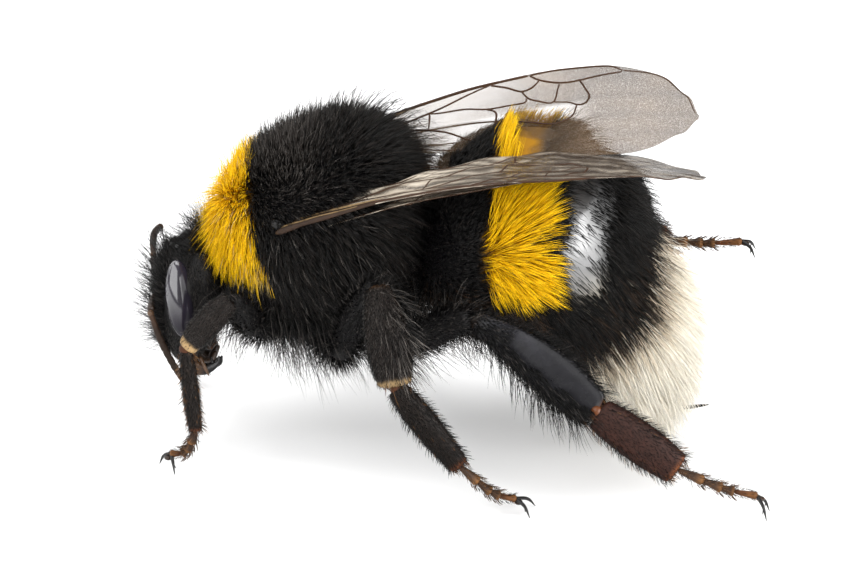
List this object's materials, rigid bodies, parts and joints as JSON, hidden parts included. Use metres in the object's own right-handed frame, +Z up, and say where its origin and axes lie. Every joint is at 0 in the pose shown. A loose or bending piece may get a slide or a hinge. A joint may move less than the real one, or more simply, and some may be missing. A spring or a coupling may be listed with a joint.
{
  "type": "bumblebee",
  "caption": "Life-size museum model of a buff-tailed bumblebee queen, standing with her wings laid back and one hind leg raised.",
  "frame": {"origin": "floor level, under the middle of the box around the bee", "axes": "+Z up, -X towards the head, -Y towards the bee's left side"},
  "size_m": [0.0258, 0.0168, 0.0151],
  "materials": {
    "black_coat": "soft black hair",
    "yellow_coat": "soft golden hair",
    "white_coat": "soft white hair",
    "shell": "polished dark shell",
    "brown_shell": "brown shell",
    "eye": "glossy black",
    "wing": "clear smoky membrane with brown veins"
  },
  "bodies": {
    "root": {"head": "black_coat", "eye_left": "eye", "eye_right": "eye", "thorax_collar": "yellow_coat", "thorax": "black_coat", "abdomen_front": "yellow_coat", "abdomen_middle": "black_coat", "abdomen_tail": "white_coat", "sting": "shell", "mandible_left": "shell", "antenna_scape_left": "brown_shell", "antenna_flagellum_left": "brown_shell", "forewing_left": "wing", "hindwing_left": "wing", "mandible_right": "shell", "antenna_scape_right": "brown_shell", "antenna_flagellum_right": "brown_shell", "forewing_right": "wing", "hindwing_right": "wing", "coxa_front_left": "black_coat", "femur_front_left": "black_coat", "tibia_front_left": "black_coat", "basitarsus_front_left": "black_coat", "tarsus_front_left": "brown_shell", "claws_front_left": "shell", "coxa_mid_left": "black_coat", "femur_mid_left": "black_coat", "tibia_mid_left": "black_coat", "basitarsus_mid_left": "black_coat", "tarsus_mid_left": "brown_shell", "claws_mid_left": "shell", "coxa_hind_left": "black_coat", "femur_hind_left": "black_coat", "tibia_hind_left": "black_coat", "basitarsus_hind_left": "black_coat", "tarsus_hind_left": "brown_shell", "claws_hind_left": "shell", "coxa_front_right": "black_coat", "femur_front_right": "black_coat", "tibia_front_right": "black_coat", "basitarsus_front_right": "black_coat", "tarsus_front_right": "brown_shell", "claws_front_right": "shell", "coxa_mid_right": "black_coat", "femur_mid_right": "black_coat", "tibia_mid_right": "black_coat", "basitarsus_mid_right": "black_coat", "tarsus_mid_right": "brown_shell", "claws_mid_right": "shell", "coxa_hind_right": "black_coat", "femur_hind_right": "black_coat", "tibia_hind_right": "black_coat", "basitarsus_hind_right": "black_coat", "tarsus_hind_right": "brown_shell", "claws_hind_right": "shell"}
  },
  "joints": []
}
